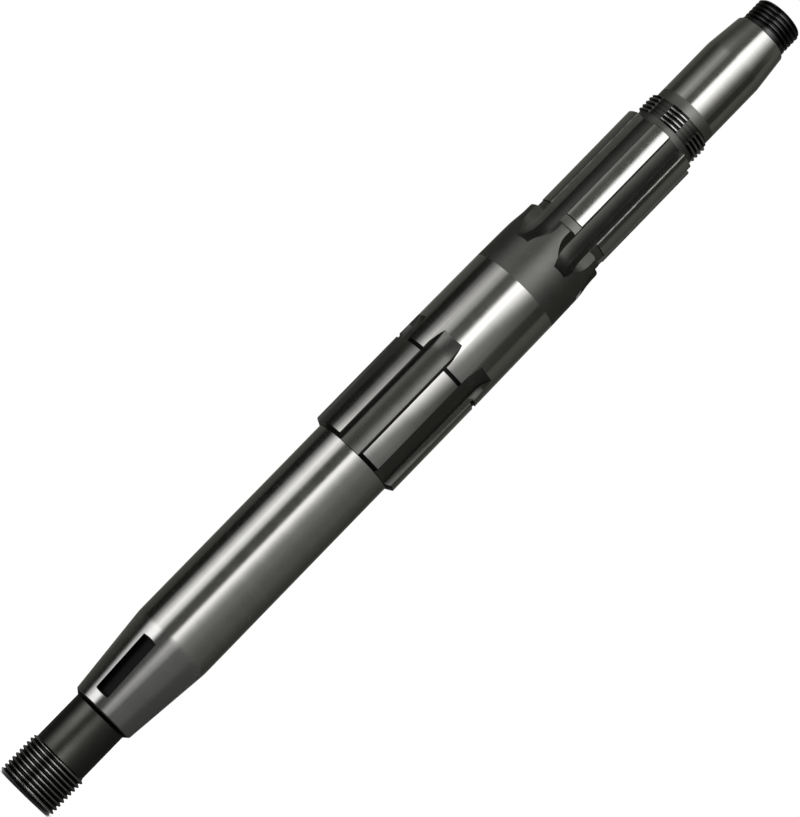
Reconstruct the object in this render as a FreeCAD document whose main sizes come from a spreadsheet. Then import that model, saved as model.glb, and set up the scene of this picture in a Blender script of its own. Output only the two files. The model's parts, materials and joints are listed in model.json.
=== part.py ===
import FreeCAD, Part
import os

import Sketcher

# Gearbox mainshaft, turned, milled and ground from one steel bar.
# The shaft's axis is +Z. It stands on the end face of its clutch thread, with the origin at the
# centre of that face, and its keyway faces -Y. All sizes are in millimetres and degrees.

SIZES = [
    # Threads, at their outer diameters
    ("clutch_thread_diameter", 19.05),
    ("clutch_thread_length", 13.9),
    ("clutch_thread_chamfer", 0.9),
    ("middle_thread_diameter", 21.75),
    ("middle_thread_length", 6.0),
    ("middle_thread_chamfer", 0.35),
    ("end_thread_diameter", 15.4),
    ("end_thread_length", 8.5),
    ("end_thread_chamfer", 0.7),
    ("thread_flank_angle", 30),
    # Neck and clutch taper
    ("neck_diameter", 17.2),
    ("neck_length", 15.8),
    ("taper_small_diameter", 20.15),
    ("taper_length", 28.1),
    ("taper_edge", 1.2),
    ("taper_edge_radius", 0.7),
    # Long journal, on which the clutch gear's bushes run
    ("journal_diameter", 25.4),
    ("journal_length", 72.3),
    # Lower spline and the hub above it
    ("lower_spline_diameter", 29.55),
    ("lower_spline_length", 33.3),
    ("lower_spline_bevel", 1.1),
    ("lower_floor_step", 0.25),
    ("lower_floor_width", 6.6),
    ("lower_crown_width", 6.7),
    ("lower_crown_angle", -17.8),
    ("ring_groove_width", 1.2),
    ("ring_groove_depth", 0.5),
    ("hub_length", 31.5),
    ("hub_top_diameter", 29.14),
    # Black band at the top of the hub
    ("band_length", 21.3),
    ("band_top_diameter", 28.4),
    ("band_edge_radius", 1.0),
    # Upper spline
    ("relief_length", 3.05),
    ("relief_depth", 0.25),
    ("upper_spline_diameter", 24.9),
    ("upper_spline_length", 36.15),
    ("upper_spline_bevel", 0.25),
    ("upper_floor_diameter", 20.3),
    ("upper_floor_width", 4.5),
    ("upper_crown_width", 6.05),
    ("upper_crown_angle", 16.1),
    ("ring_length", 2.3),
    ("ring_step", 0.1),
    # Spline cutter, the same for both splines
    ("crown_count", 6),
    ("cutter_radius", 10.5),
    ("cutter_flare_angle", 32),
    ("crown_edge", 0.15),
    ("lower_run_out", 2.72),
    ("band_cut", 2.4),
    # Upper journal with its taper
    ("end_journal_diameter", 19.45),
    ("end_journal_length", 22.5),
    ("end_taper_length", 11.75),
    ("end_taper_small_diameter", 16.95),
    ("end_taper_edge_radius", 0.5),
    # Keyway in the clutch taper
    ("key_width", 4.76),
    ("key_depth", 2.4),
    ("key_length", 19.35),
    ("key_inset", 4.95),
    # Bore for the clutch push rod
    ("bore_diameter", 8.4),
    ("bore_mouth_diameter", 10.6),
    ("bore_mouth_depth", 1.9),
    # How far a cut runs past the surface that it opens
    ("overrun", 1.0),
]

VALUES = dict(SIZES)
ORIGIN = -1
TURNED_AXIS = -2
START_POINT, END_POINT, CENTRE_POINT = range(1, 4)
FULL_TURN_ANGLE = 360
QUARTER_TURN_ANGLE = 90
# Closer than this, two lengths count as the same
MATCH_TOLERANCE = 0.001


def make_sheet(doc):
    """Put each driving size in a row of the sheet, its name beside its value."""
    sheet = doc.addObject("Spreadsheet::Sheet", "Sizes")
    for row, (name, value) in enumerate(SIZES, start=1):
        sheet.set(f"A{row}", name)
        sheet.set(f"B{row}", str(value))
        sheet.setAlias(f"B{row}", name)
    doc.recompute()
    return sheet


def size(name):
    return f"Sizes.{name}"


def total(*terms):
    return " + ".join(terms)


def stations():
    """Heights of the shaft's steps, each the one below plus a length of its own."""
    lengths = [
        ("thread_top", "clutch_thread_length"),
        ("taper_foot", "neck_length"),
        ("journal_foot", "taper_length"),
        ("spline_foot", "journal_length"),
        ("groove_foot", "lower_spline_length"),
        ("hub_foot", "ring_groove_width"),
        ("band_foot", "hub_length"),
        ("band_top", "band_length"),
        ("upper_foot", "relief_length"),
        ("upper_top", "upper_spline_length"),
        ("middle_foot", "ring_length"),
        ("middle_top", "middle_thread_length"),
        ("end_taper_foot", "end_journal_length"),
        ("end_thread_foot", "end_taper_length"),
        ("shaft_top", "end_thread_length"),
    ]
    heights = {}
    terms = []
    value = 0.0
    for station, name in lengths:
        terms.append(size(name))
        value += VALUES[name]
        heights[station] = (total(*terms), value)
    return heights


HEIGHTS = stations()


def height(station, offset="0"):
    return f"{HEIGHTS[station][0]} + ({offset})"


def radius(name):
    return f"{size(name)} / 2"


def origin_feature(body, role):
    for feature in body.Origin.OriginFeatures:
        if feature.Role == role:
            return feature
    raise RuntimeError(f"No {role} in the body's origin")


def new_sketch(body, name, plane):
    sketch = body.newObject("Sketcher::SketchObject", name)
    sketch.AttachmentSupport = (origin_feature(body, plane), [""])
    sketch.MapMode = "FlatFace"
    return sketch


def bind(sketch, constraint, name, expression):
    """Add a constraint and tie its value to the sheet."""
    index = sketch.addConstraint(constraint)
    sketch.renameConstraint(index, name)
    sketch.setExpression(f"Constraints.{name}", expression)


def number(sketch, expression):
    """What an expression comes to with the sheet's present values."""
    value = sketch.evalExpression(expression)
    return float(getattr(value, "Value", value))


def point_at(sketch, across, up):
    return FreeCAD.Vector(number(sketch, across), number(sketch, up), 0)


def place(sketch, geometry, point, across, up, name):
    """Fix a point at two expressions, measured from the sketch's origin."""
    for axis, expression in (("X", across), ("Y", up)):
        value = number(sketch, expression)
        if abs(value) < MATCH_TOLERANCE:
            axis_line = TURNED_AXIS if axis == "X" else ORIGIN
            sketch.addConstraint(Sketcher.Constraint("PointOnObject", geometry, point, axis_line))
            continue
        kind = f"Distance{axis}"
        ends = (ORIGIN, START_POINT, geometry, point)
        if value < 0:
            ends = (geometry, point, ORIGIN, START_POINT)
            expression = f"-({expression})"
        constraint = Sketcher.Constraint(kind, *ends, abs(value))
        bind(sketch, constraint, f"{name}_{axis}", expression)


def draw_polygon(sketch, corners):
    """A closed outline of straight edges through (across, up) pairs of expressions."""
    places = [point_at(sketch, across, up) for across, up in corners]
    count = len(corners)
    for index in range(count):
        line = Part.LineSegment(places[index], places[(index + 1) % count])
        sketch.addGeometry(line, False)
    for index in range(count):
        following = (index + 1) % count
        joint = Sketcher.Constraint("Coincident", index, END_POINT, following, START_POINT)
        sketch.addConstraint(joint)
    for index, (across, up) in enumerate(corners):
        place(sketch, index, START_POINT, across, up, f"corner_{index}")


def removed_volume(before, feature):
    feature.Document.recompute()
    return before.Shape.Volume - feature.Shape.Volume


def check_cut(before, feature):
    """A cut that points away from the metal removes nothing."""
    if removed_volume(before, feature) <= 0:
        raise RuntimeError(f"{feature.Label} removes no metal")
    return feature


def turned_corners():
    """The turned outline, from the foot of the axis up to its top."""
    thread = radius("clutch_thread_diameter")
    thread_chamfer = size("clutch_thread_chamfer")
    neck = radius("neck_diameter")
    run_down = f"({thread} - {neck}) * tan({size('thread_flank_angle')})"
    taper = radius("taper_small_diameter")
    journal = radius("journal_diameter")
    crowns = radius("lower_spline_diameter")
    groove = f"{crowns} - {size('ring_groove_depth')}"
    upper = radius("upper_spline_diameter")
    relief = f"{upper} - {size('relief_depth')}"
    bevel = size("upper_spline_bevel")
    ring = f"{radius('upper_floor_diameter')} - {size('ring_step')}"
    middle = radius("middle_thread_diameter")
    middle_chamfer = size("middle_thread_chamfer")
    end_journal = radius("end_journal_diameter")
    end_taper = radius("end_taper_small_diameter")
    end_thread = radius("end_thread_diameter")
    end_chamfer = size("end_thread_chamfer")
    return [
        ("0", "0"),
        (f"{thread} - {thread_chamfer}", "0"),
        (thread, thread_chamfer),
        (thread, height("thread_top", f"-{run_down}")),
        (neck, height("thread_top")),
        (neck, height("taper_foot")),
        (taper, height("taper_foot", size("taper_edge"))),
        (journal, height("journal_foot")),
        (journal, height("spline_foot")),
        (crowns, height("spline_foot", size("lower_spline_bevel"))),
        (crowns, height("groove_foot")),
        (groove, height("groove_foot")),
        (groove, height("hub_foot")),
        (crowns, height("hub_foot")),
        (radius("hub_top_diameter"), height("band_foot")),
        (radius("band_top_diameter"), height("band_top")),
        (relief, height("band_top")),
        (relief, height("upper_foot", f"-{bevel}")),
        (upper, height("upper_foot", f"{size('relief_depth')} - {bevel}")),
        (upper, height("upper_top", f"-{bevel}")),
        (f"{upper} - {bevel}", height("upper_top")),
        (ring, height("upper_top")),
        (ring, height("middle_foot")),
        (f"{middle} - {middle_chamfer}", height("middle_foot")),
        (middle, height("middle_foot", middle_chamfer)),
        (middle, height("middle_top", f"-{middle_chamfer}")),
        (f"{middle} - {middle_chamfer}", height("middle_top")),
        (end_journal, height("middle_top")),
        (end_journal, height("end_taper_foot")),
        (end_taper, height("end_thread_foot")),
        (end_thread, height("end_thread_foot")),
        (end_thread, height("shaft_top", f"-{end_chamfer}")),
        (f"{end_thread} - {end_chamfer}", height("shaft_top")),
        ("0", height("shaft_top")),
    ]


def turn_outline(body):
    """The whole shaft as it leaves the lathe, with no slot, keyway or bore."""
    sketch = new_sketch(body, "TurnedOutline", "XZ_Plane")
    draw_polygon(sketch, turned_corners())
    turned = body.newObject("PartDesign::Revolution", "TurnedShaft")
    turned.Profile = sketch
    turned.ReferenceAxis = (sketch, ["V_Axis"])
    turned.Angle = FULL_TURN_ANGLE
    body.Document.recompute()
    return turned


def circle_edges(shape, edge_radius, edge_height):
    """Names of the shape's whole circles at one radius and height."""
    names = []
    for index, edge in enumerate(shape.Edges, start=1):
        circle = edge.Curve
        if not isinstance(circle, Part.Circle):
            continue
        if abs(circle.Radius - edge_radius) > MATCH_TOLERANCE:
            continue
        if abs(circle.Center.z - edge_height) > MATCH_TOLERANCE:
            continue
        names.append(f"Edge{index}")
    return names


def round_edge(body, before, name, radius_name, diameter_name, edge_height):
    names = circle_edges(before.Shape, VALUES[diameter_name] / 2, edge_height)
    if not names:
        raise RuntimeError(f"{name} finds no edge to round")
    rounding = body.newObject("PartDesign::Fillet", name)
    rounding.Base = (before, names)
    rounding.setExpression("Radius", size(radius_name))
    body.Document.recompute()
    return rounding


def slot_corner(crown_width, along, inset="0"):
    """A point beside the next crown, so far along its centre line and inset from its flank."""
    turn = f"180 / {size('crown_count')}"
    half = f"({size(crown_width)} / 2 - ({inset}))"
    across = f"({along}) * sin({turn}) - {half} * cos({turn})"
    up = f"({along}) * cos({turn}) + {half} * sin({turn})"
    return across, up


def draw_slot_section(sketch, floor_radius, floor_width, crown_width, crown_radius):
    """Section of the cutter: round floor, flanks up to the crowns' edges, flared above them."""
    half = f"({size(crown_width)} / 2)"
    outside = f"({radius('lower_spline_diameter')} + {size('overrun')})"
    half_floor = f"({size(floor_width)} / 2)"
    foot = (half_floor, f"sqrt(({floor_radius}) ^ 2 - {half_floor} ^ 2)")
    flank_top = f"(sqrt(({crown_radius}) ^ 2 - {half} ^ 2) - {size('crown_edge')})"
    flare = f"({outside} - {flank_top}) * tan({size('cutter_flare_angle')})"
    shoulder = slot_corner(crown_width, flank_top)
    lip = slot_corner(crown_width, outside, flare)
    right = [point_at(sketch, *pair) for pair in (foot, shoulder, lip)]
    left = [FreeCAD.Vector(-point.x, point.y, 0) for point in right]
    floor_middle = FreeCAD.Vector(0, right[0].Length, 0)
    lip_middle = FreeCAD.Vector(0, right[2].Length, 0)
    floor = sketch.addGeometry(Part.Arc(right[0], floor_middle, left[0]), False)
    flank_left = sketch.addGeometry(Part.LineSegment(left[0], left[1]), False)
    flare_left = sketch.addGeometry(Part.LineSegment(left[1], left[2]), False)
    roof = sketch.addGeometry(Part.Arc(right[2], lip_middle, left[2]), False)
    flare_right = sketch.addGeometry(Part.LineSegment(right[2], right[1]), False)
    flank_right = sketch.addGeometry(Part.LineSegment(right[1], right[0]), False)
    joints = [
        (floor, END_POINT, flank_left, START_POINT),
        (flank_left, END_POINT, flare_left, START_POINT),
        (flare_left, END_POINT, roof, END_POINT),
        (roof, START_POINT, flare_right, START_POINT),
        (flare_right, END_POINT, flank_right, START_POINT),
        (flank_right, END_POINT, floor, START_POINT),
        (floor, CENTRE_POINT, ORIGIN, START_POINT),
        (roof, CENTRE_POINT, ORIGIN, START_POINT),
    ]
    for joint in joints:
        sketch.addConstraint(Sketcher.Constraint("Coincident", *joint))
    place(sketch, flank_right, END_POINT, foot[0], foot[1], "foot")
    place(sketch, flank_right, START_POINT, shoulder[0], shoulder[1], "shoulder")
    place(sketch, flare_right, START_POINT, lip[0], lip[1], "lip")
    mirror = Sketcher.Constraint("Symmetric", flank_left, END_POINT, flank_right, START_POINT,
                                 TURNED_AXIS)
    sketch.addConstraint(mirror)
    left_points = (("foot_left", flank_left, START_POINT, foot[0], right[0].x),
                   ("lip_left", flare_left, END_POINT, lip[0], right[2].x))
    for name, geometry, point, across, value in left_points:
        constraint = Sketcher.Constraint("DistanceX", geometry, point, ORIGIN, START_POINT, value)
        bind(sketch, constraint, name, across)


def draw_cutter_axis(sketch, axis_height):
    """The cutter's axis, straight across the slot above its floor."""
    value = number(sketch, axis_height)
    reach = 5.0
    line = Part.LineSegment(FreeCAD.Vector(-reach, value, 0), FreeCAD.Vector(reach, value, 0))
    axis = sketch.addGeometry(line, True)
    sketch.addConstraint(Sketcher.Constraint("Horizontal", axis))
    start = Sketcher.Constraint("DistanceX", axis, START_POINT, ORIGIN, START_POINT, reach)
    sketch.addConstraint(start)
    end = Sketcher.Constraint("DistanceX", ORIGIN, START_POINT, axis, END_POINT, reach)
    sketch.addConstraint(end)
    rise = Sketcher.Constraint("DistanceY", ORIGIN, START_POINT, axis, START_POINT, value)
    bind(sketch, rise, "axis_height", axis_height)


def mill_spline(body, before, name, floor_radius, floor_width, crown_width, crown_radius,
                crown_angle, cut_height, straight_length, upwards):
    """One slot, cut straight and then run out round the cutter, repeated round the shaft."""
    section = new_sketch(body, f"{name}Section", "XY_Plane")
    turn = FreeCAD.Rotation(FreeCAD.Vector(0, 0, 1), 1.0)
    section.AttachmentOffset = FreeCAD.Placement(FreeCAD.Vector(0, 0, 1), turn)
    section.setExpression(".AttachmentOffset.Base.z", cut_height)
    slot_turn = f"180 + {size(crown_angle)} + 180 / {size('crown_count')}"
    section.setExpression(".AttachmentOffset.Rotation.Angle", slot_turn)
    draw_slot_section(section, floor_radius, floor_width, crown_width, crown_radius)
    draw_cutter_axis(section, f"{floor_radius} + {size('cutter_radius')}")

    straight = body.newObject("PartDesign::Pocket", f"{name}Slot")
    straight.Profile = section
    straight.Type = "Length"
    straight.Reversed = upwards
    straight.setExpression("Length", straight_length)
    check_cut(before, straight)

    run_out = body.newObject("PartDesign::Groove", f"{name}RunOut")
    run_out.Profile = section
    run_out.ReferenceAxis = (section, ["Axis0"])
    run_out.Angle = QUARTER_TURN_ANGLE
    run_out.Reversed = not upwards
    check_cut(straight, run_out)

    pattern = body.newObject("PartDesign::PolarPattern", f"{name}Slots")
    pattern.Originals = [straight, run_out]
    pattern.Axis = (origin_feature(body, "Z_Axis"), [""])
    pattern.Angle = FULL_TURN_ANGLE
    pattern.setExpression("Occurrences", size("crown_count"))
    body.Tip = pattern
    check_cut(run_out, pattern)
    return pattern


def mill_lower_spline(body, before):
    crown_radius = radius("lower_spline_diameter")
    floor_radius = f"({radius('journal_diameter')} + {size('lower_floor_step')})"
    cut_height = height("groove_foot", size("lower_run_out"))
    straight = total(size("lower_spline_length"), size("lower_run_out"), size("overrun"))
    return mill_spline(body, before, "LowerSpline", floor_radius, "lower_floor_width",
                       "lower_crown_width", crown_radius, "lower_crown_angle", cut_height,
                       straight, False)


def mill_upper_spline(body, before):
    """These slots run on through the ring and the thread above the crowns."""
    crown_radius = radius("upper_spline_diameter")
    floor_radius = radius("upper_floor_diameter")
    cut_height = height("band_top", f"-{size('band_cut')}")
    straight = total(size("band_cut"), size("relief_length"), size("upper_spline_length"),
                     size("ring_length"), size("middle_thread_length"), size("overrun"))
    return mill_spline(body, before, "UpperSpline", floor_radius, "upper_floor_width",
                       "upper_crown_width", crown_radius, "upper_crown_angle", cut_height,
                       straight, True)


def mill_keyway(body, before):
    """A square-ended keyway whose floor follows the taper, facing -Y."""
    small = radius("taper_small_diameter")
    slope = (f"({radius('journal_diameter')} - {small})"
             f" / ({size('taper_length')} - {size('taper_edge')})")
    foot = height("taper_foot", size("key_inset"))
    top = height("taper_foot", f"{size('key_inset')} + {size('key_length')}")
    foot_radius = f"({small} + ({size('key_inset')} - {size('taper_edge')}) * {slope})"
    top_radius = f"({foot_radius} + {size('key_length')} * {slope})"
    corners = [
        (f"-({foot_radius} - {size('key_depth')})", foot),
        (f"-({foot_radius} + {size('overrun')})", foot),
        (f"-({top_radius} + {size('overrun')})", top),
        (f"-({top_radius} - {size('key_depth')})", top),
    ]
    sketch = new_sketch(body, "KeywayProfile", "YZ_Plane")
    draw_polygon(sketch, corners)
    keyway = body.newObject("PartDesign::Pocket", "Keyway")
    keyway.Profile = sketch
    keyway.Type = "Length"
    keyway.SideType = "Symmetric"
    keyway.setExpression("Length", size("key_width"))
    return check_cut(before, keyway)


def bore_through(body, before):
    """The push rod's bore, with a coned mouth at each end face."""
    bore = radius("bore_diameter")
    mouth = radius("bore_mouth_diameter")
    depth = size("bore_mouth_depth")
    corners = [
        ("0", "0"),
        (mouth, "0"),
        (bore, depth),
        (bore, height("shaft_top", f"-{depth}")),
        (mouth, height("shaft_top")),
        ("0", height("shaft_top")),
    ]
    sketch = new_sketch(body, "BoreProfile", "XZ_Plane")
    draw_polygon(sketch, corners)
    hole = body.newObject("PartDesign::Groove", "PushRodBore")
    hole.Profile = sketch
    hole.ReferenceAxis = (sketch, ["V_Axis"])
    hole.Angle = FULL_TURN_ANGLE
    return check_cut(before, hole)


def build_mainshaft(doc):
    body = doc.addObject("PartDesign::Body", "Mainshaft")
    body.Label = "mainshaft"
    shape = turn_outline(body)
    taper_edge_height = HEIGHTS["taper_foot"][1] + VALUES["taper_edge"]
    shape = round_edge(body, shape, "TaperEdge", "taper_edge_radius", "taper_small_diameter",
                       taper_edge_height)
    shape = round_edge(body, shape, "BandEdge", "band_edge_radius", "band_top_diameter",
                       HEIGHTS["band_top"][1])
    shape = round_edge(body, shape, "EndTaperEdge", "end_taper_edge_radius",
                       "end_taper_small_diameter", HEIGHTS["end_thread_foot"][1])
    shape = mill_lower_spline(body, shape)
    shape = mill_upper_spline(body, shape)
    shape = mill_keyway(body, shape)
    shape = bore_through(body, shape)
    body.Tip = shape
    return body


def check_document(doc, bodies):
    for item in doc.Objects:
        if "Invalid" in item.State or "Error" in item.State:
            raise RuntimeError(f"{item.Label} did not build: {item.State}")
    for body in bodies:
        if body.Shape.isNull() or not body.Shape.isValid():
            raise RuntimeError(f"{body.Label} has no sound shape")


def main():
    doc = FreeCAD.newDocument("GearboxMainshaft")
    make_sheet(doc)
    bodies = [build_mainshaft(doc)]
    doc.recompute()
    check_document(doc, bodies)
    os.makedirs("parts", exist_ok=True)
    for body in bodies:
        body.Shape.exportStep(f"parts/{body.Label}.step")
        box = body.Shape.BoundBox
        print(f"{body.Label}: {len(body.Shape.Solids)} solid, {body.Shape.Volume:.1f} mm3,"
              f" {box.XLength:.2f} x {box.YLength:.2f} x {box.ZLength:.2f} mm")


main()
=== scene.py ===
import json
import math
from itertools import accumulate
from types import SimpleNamespace
from typing import NamedTuple

import bmesh
import bpy
from mathutils import Matrix, Vector


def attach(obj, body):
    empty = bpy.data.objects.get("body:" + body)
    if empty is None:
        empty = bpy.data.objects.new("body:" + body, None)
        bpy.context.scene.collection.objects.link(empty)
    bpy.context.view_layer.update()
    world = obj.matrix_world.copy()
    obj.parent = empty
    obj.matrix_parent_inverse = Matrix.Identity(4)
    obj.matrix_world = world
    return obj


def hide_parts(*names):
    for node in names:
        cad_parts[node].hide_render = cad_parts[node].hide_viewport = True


bl_info = {
    "name": "Gearbox Mainshaft",
    "version": (1, 0, 0),
    "blender": (4, 5, 0),
    "location": "3D View > Sidebar > Mainshaft",
    "description": "Finishes a gearbox mainshaft in ground and blackened steel, with its studio",
    "category": "Object",
}

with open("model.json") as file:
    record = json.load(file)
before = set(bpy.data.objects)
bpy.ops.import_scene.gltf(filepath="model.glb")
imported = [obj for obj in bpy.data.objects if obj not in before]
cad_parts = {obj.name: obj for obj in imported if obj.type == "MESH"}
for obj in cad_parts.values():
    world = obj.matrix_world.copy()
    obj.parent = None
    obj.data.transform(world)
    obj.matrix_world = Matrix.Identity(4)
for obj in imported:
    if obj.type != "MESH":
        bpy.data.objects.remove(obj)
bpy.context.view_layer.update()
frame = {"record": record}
MM = 0.001
PIECE = "mainshaft_steel"
LEVEL = (1.0, 1.0, 0.0)
WHITE = (1.0, 1.0, 1.0, 1.0)
FLANK_SLOPE = math.tan(math.radians(30.0))


# Sizes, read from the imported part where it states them

def mount_size(mount_name, key):
    """A mount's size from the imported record, in millimetres."""
    for mount in frame["record"]["mounts"]:
        if mount["name"] == mount_name:
            return mount["dims"][key]
    raise RuntimeError(f"The packed record has no mount named {mount_name}")


def length(name, millimetres, description):
    """A property that holds one length, its default given in millimetres."""
    return bpy.props.FloatProperty(name=name, description=description, default=millimetres * MM,
                                   min=0.0, precision=5, unit="LENGTH", subtype="DISTANCE")


def mounted(name, mount_name, key, description):
    """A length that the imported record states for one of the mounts."""
    return length(name, mount_size(mount_name, key), description)


def angle(name, degrees, description):
    return bpy.props.FloatProperty(name=name, description=description,
                                   default=math.radians(degrees), subtype="ANGLE")


def colour(name, default, description):
    return bpy.props.FloatVectorProperty(name=name, description=description, default=default,
                                         size=3, min=0.0, max=1.0, subtype="COLOR")


def share(name, default, description):
    return bpy.props.FloatProperty(name=name, description=description, default=default,
                                   min=0.0, max=1.0, subtype="FACTOR")


def glow(name, default, description):
    return bpy.props.FloatProperty(name=name, description=description, default=default, min=0.0)


class MAINSHAFT_PG_turned(bpy.types.PropertyGroup):
    """Diameters and lengths that are turned on the bar."""

    clutch_thread_radius: mounted(
        "Clutch thread radius", "clutch_thread", "r_mm", "Outer radius of the foot's thread")
    clutch_thread_length: mounted(
        "Clutch thread length", "clutch_thread", "length_mm", "Length of the foot's thread")
    neck_radius: length("Neck radius", 8.6, "Radius of the plain neck above that thread")
    neck_length: length("Neck length", 15.8, "Length of the plain neck")
    taper_small_radius: length(
        "Taper small radius", 10.075, "Radius of the clutch taper at its small end")
    taper_edge: length("Taper edge", 1.2, "Height of the bevel at the taper's small end")
    taper_length: length("Taper length", 28.1, "Length of the clutch taper and its bevel")
    journal_radius: mounted(
        "Journal radius", "main_journal", "r_mm", "Radius of the long ground journal")
    journal_length: mounted(
        "Journal length", "main_journal", "length_mm", "Length of the long ground journal")
    hub_length: length("Hub length", 31.5, "Length of the bright hub above the ring groove")
    hub_top_radius: length("Hub top radius", 14.57, "Radius of the hub at its top")
    band_length: length("Band length", 21.3, "Length of the black band above the hub")
    band_top_radius: length("Band top radius", 14.2, "Radius of the band at its top")
    groove_width: length("Groove width", 1.2, "Width of the ring groove")
    groove_depth: length("Groove depth", 0.5, "Depth of the ring groove")
    relief_length: length("Relief length", 3.05, "Length of the relief below the upper spline")
    relief_depth: length("Relief depth", 0.25, "Depth of that relief under the crowns")
    ring_length: length("Ring length", 2.3, "Length of the ring above the upper spline")
    ring_step: length("Ring step", 0.1, "How far the ring lies under the slot floors")
    middle_thread_radius: mounted(
        "Middle thread radius", "middle_thread", "r_mm", "Outer radius of the middle thread")
    middle_thread_length: mounted(
        "Middle thread length", "middle_thread", "length_mm", "Length of the middle thread")
    end_journal_radius: mounted(
        "End journal radius", "end_journal", "r_mm", "Radius of the upper journal")
    end_journal_length: mounted(
        "End journal length", "end_journal", "length_mm", "Length of the upper journal")
    collar_length: length(
        "Collar length", 3.4, "Length of the upper journal that the grinding left black")
    end_taper_length: length("End taper length", 11.75, "Length of the short upper taper")
    end_taper_radius: length(
        "End taper radius", 8.475, "Radius of the short taper at its small end")
    end_thread_radius: mounted(
        "End thread radius", "end_thread", "r_mm", "Outer radius of the end thread")
    end_thread_length: mounted(
        "End thread length", "end_thread", "length_mm", "Length of the end thread")
    bore_radius: mounted("Bore radius", "push_rod_bore", "r_mm", "Radius of the push rod's bore")
    bore_mouth_radius: length("Bore mouth radius", 5.3, "Radius of the bore's coned mouths")
    bore_mouth_depth: length("Bore mouth depth", 1.9, "Depth of the bore's coned mouths")
    edge_break: length("Edge break", 0.09, "Rounding of the turned edges")


class MAINSHAFT_PG_milled(bpy.types.PropertyGroup):
    """The two splines and the keyway."""

    crown_count: bpy.props.IntProperty(
        name="Crown count", default=6, min=3, max=12,
        description="Number of crowns round each spline")
    lower_radius: mounted(
        "Lower spline radius", "lower_spline", "r_mm", "Outer radius of the lower crowns")
    lower_length: mounted(
        "Lower spline length", "lower_spline", "length_mm", "Length of the lower crowns")
    lower_bevel: length("Lower spline bevel", 1.1, "Height of the lower crowns' foot bevel")
    lower_floor: length("Lower slot floor radius", 12.95, "Radius of the lower slot floors")
    lower_floor_width: length("Lower slot floor width", 6.6, "Width of the lower slot floors")
    lower_crown_width: length("Lower crown width", 6.7, "Width of the lower crowns")
    lower_crown_angle: angle("Lower crown angle", -17.8, "Turn of the first lower crown")
    lower_run_out: length("Lower run-out", 2.72, "Full-depth cut above the lower crowns")
    upper_radius: mounted(
        "Upper spline radius", "upper_spline", "r_mm", "Outer radius of the upper crowns")
    upper_length: mounted(
        "Upper spline length", "upper_spline", "length_mm", "Length of the upper crowns")
    upper_bevel: length("Upper spline bevel", 0.25, "Size of the upper crowns' end bevels")
    upper_floor: length("Upper slot floor radius", 10.15, "Radius of the upper slot floors")
    upper_floor_width: length("Upper slot floor width", 4.5, "Width of the upper slot floors")
    upper_crown_width: length("Upper crown width", 6.05, "Width of the upper crowns")
    upper_crown_angle: angle("Upper crown angle", 16.1, "Turn of the first upper crown")
    band_cut: length("Band cut", 2.4, "Full-depth cut below the black band's top")
    cutter_radius: length("Cutter radius", 10.5, "Radius of the cutter that mills the slots")
    flare_angle: angle("Cutter flare angle", 32.0, "Slope of the cutter's sides above its flanks")
    crown_edge: length("Crown edge", 0.3, "Depth of the bevel along each crown")
    key_width: length("Key width", 4.76, "Width of the keyway")
    key_depth: length("Key depth", 2.4, "Depth of the keyway")
    key_length: length("Key length", 19.35, "Length of the keyway")
    key_inset: length("Key inset", 4.95, "Height of the keyway above the taper's foot")
    key_edge: length("Key edge", 0.12, "Bevel round the keyway's mouth")


class MAINSHAFT_PG_threads(bpy.types.PropertyGroup):
    """The form that the three threads share."""

    pitch: length("Pitch", 25.4 / 18, "Pitch of the three threads")
    depth: length("Depth", 0.78, "Depth of the thread's groove")
    crest_width: length("Crest width", 0.28, "Flat left on each crest")
    crest_bevel: length("Crest bevel", 0.08, "Bevel on each side of a crest")
    run_out: length("Run-out", 20.0, "Length over which the end thread's groove fades in")
    clutch_turn: angle("Clutch thread turn", -54.0, "Where the clutch thread's groove starts")
    middle_turn: angle("Middle thread turn", -138.0, "Where the middle thread's groove starts")
    end_turn: angle("End thread turn", -20.0, "Where the end thread's groove starts")


class MAINSHAFT_PG_finish(bpy.types.PropertyGroup):
    """Colours and roughness of the steel's finishes."""

    ground_colour: colour("Ground steel", (0.62, 0.615, 0.6), "Colour of the ground steel")
    ground_roughness: share("Ground roughness", 0.16, "Roughness of the ground steel")
    black_colour: colour("Blackened steel", (0.19, 0.19, 0.18), "Colour of the blackened steel")
    black_roughness: share("Blackened roughness", 0.44, "Roughness of the blackened steel")
    neck_colour: colour("Neck steel", (0.115, 0.115, 0.105), "Colour of the plain neck")
    slot_colour: colour("Slot steel", (0.165, 0.165, 0.155), "Colour of the milled slots")
    slot_roughness: share("Slot roughness", 0.32, "Roughness of the milled slots")
    thread_colour: colour("Thread black", (0.05, 0.05, 0.052), "Colour of the blackest threads")
    crest_colour: colour("Worn crest", (0.6, 0.6, 0.59), "Colour of the worn thread crests")
    wear_colour: colour(
        "Worn edge", (0.42, 0.42, 0.41), "Colour of edges that wear has made bright")


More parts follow.
